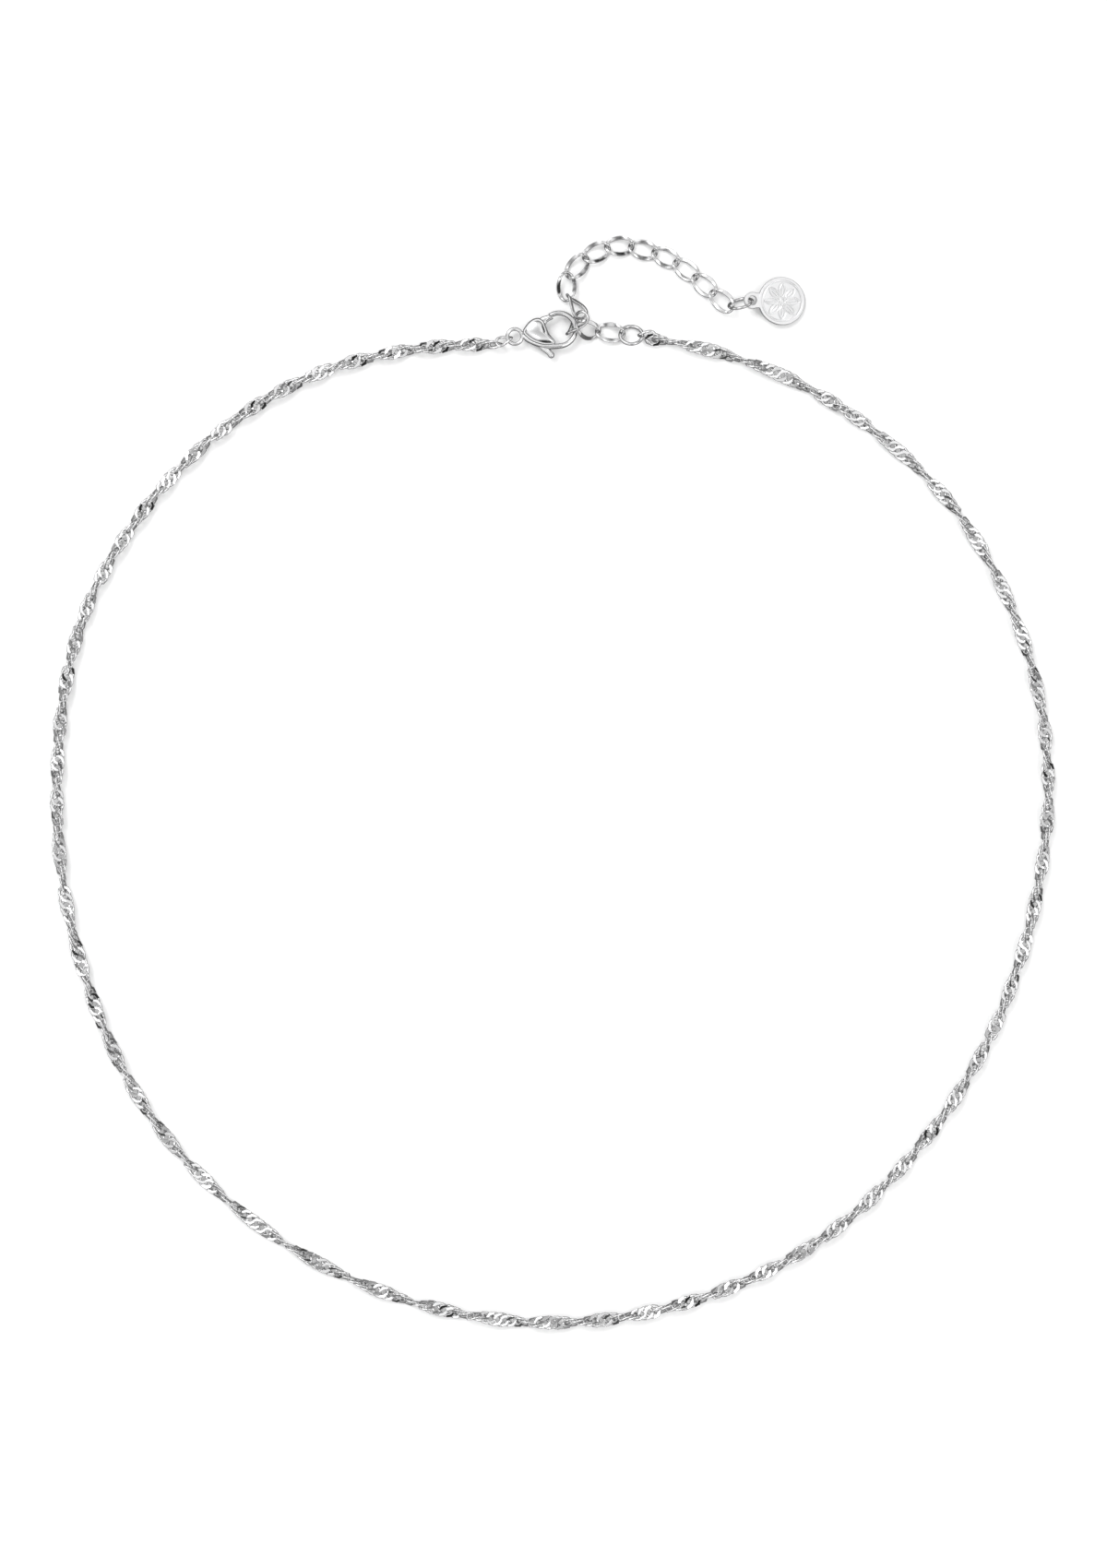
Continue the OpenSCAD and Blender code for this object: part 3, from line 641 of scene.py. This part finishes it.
def add_hook(shape):
    """Rail and hook: one bar, split into an upper and a lower lip where the lever's slot is open.

    The rail swells out of the neck with the root of its length. The hook's tip is slid on to a
    circle around the pivot, so that the gate can pass it."""
    s = np.linspace(RAIL_FROM - RAIL_LEAD, RAIL_SLOT[0], RAIL_STEPS)
    swell = np.sqrt(np.clip((s - s[0]) / RAIL_TAPER, 0.02, 1))
    add_bar(shape, bar_rings(s, *stadium(BAR_W / 2 * swell, bar_height(s) * swell)))

    s = np.linspace(*RAIL_SLOT, RAIL_STEPS)
    a = np.linspace(0, math.pi, LIP_SIDES)
    wide = np.broadcast_to(BAR_W / 2 * np.cos(a), (len(s), len(a)))
    high = np.maximum(bar_height(s)[:, None] - BAR_W / 2 * (1 - np.sin(a)), SLOT_H / 2)
    for half in (1, -1):
        add_bar(shape, bar_rings(s, wide, half * high))

    ease = np.linspace(RAIL_SLOT[1], HOOK_FROM, EASE_STEPS)[:-1]
    s = np.concatenate([ease, np.linspace(HOOK_FROM, HOOK_TO - TIP_RUN, HOOK_STEPS), [HOOK_TO] * 3])
    shrink = np.append(np.ones(len(s) - 2), TIP_SHRINK)
    rings = bar_rings(s, *stadium(BAR_W / 2 * shrink, bar_height(s) - BAR_W / 2 * (1 - shrink)))
    add_bar(shape, slid_ends(rings, turned(HOOK_TO + 90), GATE_ROOM_R + np.array(TIP_BACK), -1))


def cheek_outline():
    """The closed outline of a cheek, in millimetres around the hook's middle."""
    return CHEEK_AT + closed_curve(CHEEK, CHEEK_STEPS) * [CHEEK_L, CHEEK_W]


def add_cheeks(shape):
    """Two domed cheeks: over the outline, scaled towards its crown by sin u, rises cos u.

    Below its edge a cheek has a straight wall, a small bevel and a flat inner face."""
    outline = cheek_outline()
    crown = CHEEK_AT + np.array(CROWN) * [CHEEK_L, CHEEK_W]
    rim = SLOT_H / 2 + CHEEK_EDGE
    u = np.radians(np.linspace(DOME_FROM, 90, DOME_ROWS))
    share = np.concatenate([np.sin(u), [1, 1, 1 - CHEEK_BEVEL, CHEEK_INNER]])
    height = np.concatenate([rim + (CLASP_T / 2 - rim) * np.cos(u),
                             [SLOT_H / 2 + CHEEK_EDGE / 2, SLOT_H / 2 + CHEEK_BEVEL, SLOT_H / 2, SLOT_H / 2]])
    flat = crown + share[:, None, None] * (outline - crown)
    for half in (1, -1):
        points = clasp_points(flat[..., 0], flat[..., 1], half * height[:, None])
        shape.add(points, shell_faces(len(share), len(outline), False), cap_faces(len(share), len(outline)))


def add_filling(shape, rows):
    """The metal between the cheeks: a band around the pivot from an inner radius to the outline."""
    outline = cheek_outline() - PIVOT[:2]
    angle = np.degrees(np.arctan2(outline[:, 1], outline[:, 0]))
    order = np.argsort(angle)
    rows = np.array(rows, dtype=float)
    at = np.linspace(rows[0, 0], rows[-1, 0], FILL_STEPS)
    outer = np.interp(at, angle[order], np.hypot(*outline[order].T), period=360) - FILL_BACK
    inner = np.minimum(np.interp(at, rows[:, 0], rows[:, 1]), outer - FILL_BACK)
    high = SLOT_H / 2 + FILL_BACK
    radius = np.stack([inner, outer, outer, inner], axis=-1)[..., None] * turned(at)[:, None]
    points = clasp_points(PIVOT[0] + radius[..., 0], PIVOT[1] + radius[..., 1], [-high, -high, high, high])
    shape.add(points, shell_faces(FILL_STEPS, 4, False), cap_faces(FILL_STEPS, 4))


def clasp_body():
    """The cast body of the clasp: the eye, a bar bent to a ring, then neck, rail, hook and cheeks."""
    shape = Shape()
    a = np.arange(EYE_STEPS) * 360 / EYE_STEPS
    wide, high = stadium((EYE_R - EYE_HOLE_R) / 2, EYE_H / 2)
    ring = EYE_AT + turned(a)[:, None] * ((EYE_R + EYE_HOLE_R) / 2 + wide)[:, None]
    shape.add(clasp_points(ring[..., 0], ring[..., 1], high), shell_faces(EYE_STEPS, BAR_SIDES, True))
    x = np.linspace(NECK[0][0], NECK[-1][0], NECK_STEPS)
    place, half_w, half_h = smooth_rows(NECK, x).T[..., None]
    section = oval_section(BAR_SIDES, NECK_CRISP)
    rings = np.broadcast_arrays(x[:, None], place + half_w * section[:, 0], half_h * section[:, 1])
    add_bar(shape, np.stack(rings, axis=-1))
    add_hook(shape)
    add_cheeks(shape)
    add_filling(shape, BACK_FILL)
    add_filling(shape, TIP_FILL)
    shape.piece("clasp_casting", "necklace", [clasp_steel], ["clasp_body"], sharp=42)


def arm_rings(rows, end_lengths, end_shares):
    """Rings of an arm that leaves the pivot: rows give distance, angle, half width and half height
    of its line, and the last ring goes on in steps along its own way, shrinking by shares."""
    rows = np.array(rows)
    at = np.linspace(rows[0, 0], rows[-1, 0], ARM_STEPS)
    angle, half_w, half_h = smooth_rows(rows, at).T
    line = at[:, None] * turned(angle)
    way = unit(line[-1] - line[-2])
    line = np.concatenate([line, line[-1] + np.asarray(end_lengths)[:, None] * way])
    half_w = np.append(half_w, half_w[-1] * np.asarray(end_shares))
    half_h = np.append(half_h, half_h[-1] * np.asarray(end_shares))
    along = unit(np.gradient(line, axis=0))
    across = np.stack([-along[:, 1], along[:, 0]], axis=-1)
    section = oval_section(BAR_SIDES, ARM_CRISP)
    flat = line[:, None] + across[:, None] * (half_w[:, None] * section[:, 0])[..., None]
    return PIVOT + np.concatenate([flat, (half_h[:, None] * section[:, 1])[..., None]], axis=-1)


def clasp_lever():
    """The lever: a pierced boss on the pin, the gate towards the hook's tip and the thumb tab.

    The gate's end is slid on to a circle around the pivot, and the tab's end is a quarter circle."""
    shape = Shape()
    a = np.arange(BOSS_STEPS) * 360 / BOSS_STEPS
    radius = np.array([BOSS[0], BOSS[1], BOSS[1], BOSS[0]])
    ring = PIVOT[:2] + turned(a)[:, None] * radius[:, None]
    high = LEVER_T / 2 * np.array([-1, -1, 1, 1])
    shape.add(clasp_points(ring[..., 0], ring[..., 1], high), shell_faces(BOSS_STEPS, 4, True))

    gate_line = HOOK_R * turned(HOOK_TO) - PIVOT[:2]
    gate_way = math.degrees(math.atan2(gate_line[1], gate_line[0]))
    rows = np.array(GATE) + [0, gate_way, 0, 0]
    gate = arm_rings(rows, TIP_STEPS, TIP_SHRINK)
    way = unit(gate[-2, :, :2].mean(axis=0) - gate[-4, :, :2].mean(axis=0))
    add_bar(shape, slid_ends(gate, way, GATE_R - np.array(TIP_BACK), 1))
    end = np.radians(np.linspace(0, TAB_END_TO, TAB_END_STEPS))[1:]
    add_bar(shape, arm_rings(TAB, TAB_END * np.sin(end), np.cos(end)))
    shape.piece("clasp_gate", "lever", [clasp_steel], ["clasp_lever"], sharp=42)


# Materials
def node_group(name, inputs, outputs):
    """A shader node group with named inputs and outputs, and its two end nodes."""
    tree = bpy.data.node_groups.new(name, "ShaderNodeTree")
    for label, kind, value in inputs:
        socket = tree.interface.new_socket(label, in_out="INPUT", socket_type=kind)
        if value is not None:
            socket.default_value = value
    for label, kind in outputs:
        tree.interface.new_socket(label, in_out="OUTPUT", socket_type=kind)
    return tree, tree.nodes.new("NodeGroupInput"), tree.nodes.new("NodeGroupOutput")


def noise(tree, vector, scale, detail=3.0, stretch=None):
    """A noise texture over a vector, which a stretch draws out along its axes first."""
    if stretch:
        mapping = tree.nodes.new("ShaderNodeMapping")
        mapping.inputs["Scale"].default_value = stretch
        tree.links.new(vector, mapping.inputs["Vector"])
        vector = mapping.outputs["Vector"]
    texture = tree.nodes.new("ShaderNodeTexNoise")
    texture.inputs["Detail"].default_value = detail
    tree.links.new(vector, texture.inputs["Vector"])
    tree.links.new(scale, texture.inputs["Scale"])
    return texture.outputs["Fac"]


def colour_mix(tree, factor, first, second):
    """Mixes two colours, each a socket or a grey tone, by a factor, and gives the result's socket."""
    mix = tree.nodes.new("ShaderNodeMix")
    mix.data_type = "RGBA"
    tree.links.new(factor, mix.inputs["Factor"])
    for colour, socket in ((first, mix.inputs[6]), (second, mix.inputs[7])):
        if isinstance(colour, float):
            socket.default_value = (colour, colour, colour, 1)
        else:
            tree.links.new(colour, socket)
    return mix.outputs[2]


def spread(tree, value, low, high):
    """A noise's range stretched over low to high, which may be sockets or numbers."""
    node = tree.nodes.new("ShaderNodeMapRange")
    node.inputs["From Min"].default_value = NOISE_RANGE[0]
    node.inputs["From Max"].default_value = NOISE_RANGE[1]
    for name, limit in (("To Min", low), ("To Max", high)):
        if isinstance(limit, (int, float)):
            node.inputs[name].default_value = limit
        else:
            tree.links.new(limit, node.inputs[name])
    tree.links.new(value, node.inputs["Value"])
    return node.outputs["Result"]


def make_tone_group():
    """Metal tone: soft clouds between a clear and a duller colour of the same metal."""
    tree, start, end = node_group(
        "metal_tone",
        [("Vector", "NodeSocketVector", None), ("Scale", "NodeSocketFloat", 400.0),
         ("Clear", "NodeSocketColor", (0.9, 0.9, 0.9, 1)), ("Dull", "NodeSocketColor", (0.7, 0.7, 0.7, 1))],
        [("Color", "NodeSocketColor")])
    clouds = spread(tree, noise(tree, start.outputs["Vector"], start.outputs["Scale"]), 0.0, 1.0)
    colour = colour_mix(tree, clouds, start.outputs["Clear"], start.outputs["Dull"])
    tree.links.new(colour, end.inputs["Color"])
    return tree


def make_polish_group():
    """Polish marks: long fine lines that vary the roughness and stand a little in the height."""
    tree, start, end = node_group(
        "polish_marks",
        [("Vector", "NodeSocketVector", None), ("Scale", "NodeSocketFloat", 2000.0),
         ("Smooth", "NodeSocketFloat", 0.08), ("Worn", "NodeSocketFloat", 0.2)],
        [("Roughness", "NodeSocketFloat"), ("Height", "NodeSocketFloat")])
    lines = noise(tree, start.outputs["Vector"], start.outputs["Scale"], 2.0, (1.0, 0.12, 1.0))
    crossing = noise(tree, start.outputs["Vector"], start.outputs["Scale"], 2.0, (0.15, 1.0, 0.6))
    both = tree.nodes.new("ShaderNodeMath")
    both.operation = "MAXIMUM"
    tree.links.new(lines, both.inputs[0])
    tree.links.new(crossing, both.inputs[1])
    rough = spread(tree, both.outputs[0], start.outputs["Smooth"], start.outputs["Worn"])
    tree.links.new(rough, end.inputs["Roughness"])
    tree.links.new(both.outputs[0], end.inputs["Height"])
    return tree


def steel(name):
    """A polished metal: tone and roughness vary over its surface, and marks stand in its relief."""
    clear, dull, tone_scale, smooth, worn, mark_scale, relief = METALS[name]
    material = bpy.data.materials.new(name)
    material.use_nodes = True
    tree = material.node_tree
    shader = tree.nodes["Principled BSDF"]
    shader.inputs["Metallic"].default_value = 1.0
    place = tree.nodes.new("ShaderNodeTexCoord").outputs["Object"]
    tone = tree.nodes.new("ShaderNodeGroup")
    tone.node_tree = tone_group
    tone.inputs["Scale"].default_value = tone_scale
    tone.inputs["Clear"].default_value = (clear, clear, clear * METAL_BLUE, 1)
    tone.inputs["Dull"].default_value = (dull, dull, dull * METAL_BLUE, 1)
    marks = tree.nodes.new("ShaderNodeGroup")
    marks.node_tree = polish_group
    marks.inputs["Scale"].default_value = mark_scale
    marks.inputs["Smooth"].default_value = smooth
    marks.inputs["Worn"].default_value = worn
    bump = tree.nodes.new("ShaderNodeBump")
    bump.inputs["Strength"].default_value = relief
    bump.inputs["Distance"].default_value = MARK_HEIGHT
    for group in (tone, marks):
        tree.links.new(place, group.inputs["Vector"])
    tree.links.new(tone.outputs["Color"], shader.inputs["Base Color"])
    tree.links.new(marks.outputs["Roughness"], shader.inputs["Roughness"])
    tree.links.new(marks.outputs["Height"], bump.inputs["Height"])
    tree.links.new(bump.outputs["Normal"], shader.inputs["Normal"])
    return material


# The stage
def make_floor():
    """The pale surface that the necklace lies on. Rays from the polished metal see it in a darker painted
    tone, a painted reflection that darkens the metal's outlines.
    """
    mesh = bpy.data.meshes.new("floor")
    corners = np.array([[-1, -1, 0], [1, -1, 0], [1, 1, 0], [-1, 1, 0]]) * FLOOR_HALF + UP * FLOOR_Z
    mesh.from_pydata(corners, [], [(0, 1, 2, 3)])
    floor = bpy.data.objects.new("floor", mesh)
    bpy.context.scene.collection.objects.link(floor)
    material = bpy.data.materials.new("pale_surface")
    material.use_nodes = True
    shader = material.node_tree.nodes["Principled BSDF"]
    shader.inputs["Roughness"].default_value = FLOOR_ROUGH
    shader.inputs["Specular IOR Level"].default_value = 0.0
    tree = material.node_tree
    # Painted reflection: glossy rays from the metal see the floor in a darker painted tone than the camera
    # does
    painted_reflection_mask = tree.nodes.new("ShaderNodeLightPath").outputs["Is Glossy Ray"]
    colour = colour_mix(tree, painted_reflection_mask, FLOOR_TONE, FLOOR_PAINTED_REFLECTION)
    tree.links.new(colour, shader.inputs["Base Color"])
    mesh.materials.append(material)


def make_sky():
    """A soft studio tent of bright and dark bands with panels in it, plain for the camera.

    The bands follow the height of the direction. A panel is mixed in smoothly by the cosine of the
    angle between the direction and the way to it."""
    world = bpy.data.worlds.new("studio")
    bpy.context.scene.world = world
    world.use_nodes = True
    tree = world.node_tree
    place = tree.nodes.new("ShaderNodeTexCoord").outputs["Generated"]
    axes = tree.nodes.new("ShaderNodeSeparateXYZ")
    tree.links.new(place, axes.inputs["Vector"])
    ramp = tree.nodes.new("ShaderNodeValToRGB")
    stops = ramp.color_ramp.elements
    while len(stops) < len(SKY):
        stops.new(0.5)
    for stop, (at, tone) in zip(stops, SKY):
        stop.position = at
        stop.color = (tone, tone, tone, 1)
    tree.links.new(axes.outputs["Z"], ramp.inputs["Fac"])
    sky = ramp.outputs["Color"]
    for way, width, tone in PANELS:
        facing = tree.nodes.new("ShaderNodeVectorMath")
        facing.operation = "DOT_PRODUCT"
        facing.inputs[1].default_value = unit(np.array(way))
        tree.links.new(place, facing.inputs[0])
        mask = tree.nodes.new("ShaderNodeMapRange")
        mask.interpolation_type = "SMOOTHSTEP"
        mask.inputs["From Min"].default_value = math.cos(math.radians(width * PANEL_EDGE[1]))
        mask.inputs["From Max"].default_value = math.cos(math.radians(width * PANEL_EDGE[0]))
        tree.links.new(facing.outputs["Value"], mask.inputs["Value"])
        sky = colour_mix(tree, mask.outputs["Result"], sky, tone)
    seen = tree.nodes.new("ShaderNodeLightPath").outputs["Is Camera Ray"]
    sky = colour_mix(tree, seen, sky, SKY_SEEN)
    background = tree.nodes["Background"]
    background.inputs["Strength"].default_value = SKY_STRENGTH
    tree.links.new(sky, background.inputs["Color"])


def make_lamp(name, place, size, power):
    """A large soft lamp that looks at the middle of the necklace, and that the metal doesn't mirror."""
    data = bpy.data.lights.new(name, "AREA")
    data.shape = "RECTANGLE"
    data.size, data.size_y = size
    data.energy = power
    lamp = bpy.data.objects.new(name, data)
    bpy.context.scene.collection.objects.link(lamp)
    x, y, z = place
    lamp.location = place
    lamp.visible_glossy = False
    lamp.rotation_euler = (math.atan2(math.hypot(x, y), z), 0, math.atan2(y, x) + math.pi / 2)


def make_camera():
    """The camera straight above, with the top of the picture towards the clasp."""
    data = bpy.data.cameras.new("camera")
    data.sensor_width = SENSOR / MM
    data.lens = LENS / MM
    data.clip_start, data.clip_end = 0.01, 10.0
    camera = bpy.data.objects.new("camera", data)
    camera.location = (*CAMERA_AT, CHAIN_HEIGHT + FIELD_HEIGHT * LENS / SENSOR)
    bpy.context.scene.collection.objects.link(camera)
    bpy.context.scene.camera = camera
    bpy.context.scene.view_settings.view_transform = "Standard"


hook_at = np.array(frame["joints"][0]["pos_m"]) + HOOK_FROM_PIVOT * MM
tone_group = make_tone_group()
polish_group = make_polish_group()
wire_steel = steel("chain_wire")
cut_steel = steel("chain_diamond_cut")
clasp_steel = steel("polished_clasp")
extender_steel = steel("pressed_extender")
ring_steel = steel("polished_ring")
tag_steel = steel("engraved_tag")

chain()
end_link("chain_end_link_1")
end_link("chain_end_link_2")
clasp_body()
clasp_lever()
frame["nodes"]["clasp_pin"].data.materials.clear()
frame["nodes"]["clasp_pin"].data.materials.append(clasp_steel)
for number in range(1, 14):
    extender_link(f"extender_link_{number:02d}")
wire_ring("joining_ring", JOIN_R, JOIN_WIRE_R, 140)
wire_ring("tag_ring", TAG_RING_R, TAG_RING_WIRE_R, 70)
tag()

make_floor()
make_sky()
for lamp_row in LAMPS:
    make_lamp(*lamp_row)
make_camera()
